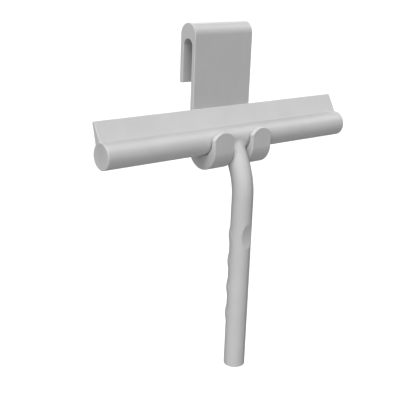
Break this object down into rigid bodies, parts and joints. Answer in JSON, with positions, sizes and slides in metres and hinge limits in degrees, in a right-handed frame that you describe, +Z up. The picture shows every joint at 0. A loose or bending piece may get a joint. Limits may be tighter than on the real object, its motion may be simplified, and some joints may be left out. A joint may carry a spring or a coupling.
{
  "type": "window cleaning squeegee",
  "caption": "Silicone-clad shower squeegee with a round bar, a leaning wiping blade and a bent handle, resting in a forked holder that drops over a glass edge.",
  "frame": {"origin": "middle of the crown of the glass slot, where the top edge of the glass bears", "axes": "+X along the glass edge and the bar, +Y through the glass away from the user, +Z up"},
  "size_m": [0.25, 0.0584, 0.2866],
  "materials": {
    "silicone": "soft matte light grey silicone",
    "core_steel": "plain stainless steel, hidden inside",
    "core_plastic": "moulded dark nylon, hidden inside",
    "core_brass": "turned brass, hidden inside"
  },
  "bodies": {
    "hanger": {"hanger_strip": "core_steel", "crown_block": "core_plastic", "trough_block_left": "core_plastic", "trough_block_right": "core_plastic", "crown_pins": "core_steel", "trough_pins": "core_steel", "hanger_cover": "silicone"},
    "squeegee": {"head_tube": "core_steel", "blade_key": "core_steel", "tube_plug_left": "core_plastic", "tube_plug_right": "core_plastic", "cross_nut": "core_brass", "neck_stud": "core_steel", "saddle_collar": "core_steel", "wiper_sleeve": "silicone", "handle_tube": "core_steel", "neck_insert": "core_brass", "handle_plug": "core_plastic", "grip_sleeve": "silicone"}
  },
  "joints": [
    {"name": "lift_off", "type": "slide", "parent": "hanger", "child": "squeegee", "axis": [0, 0, 1], "range_m": [0, 0.04]}
  ]
}
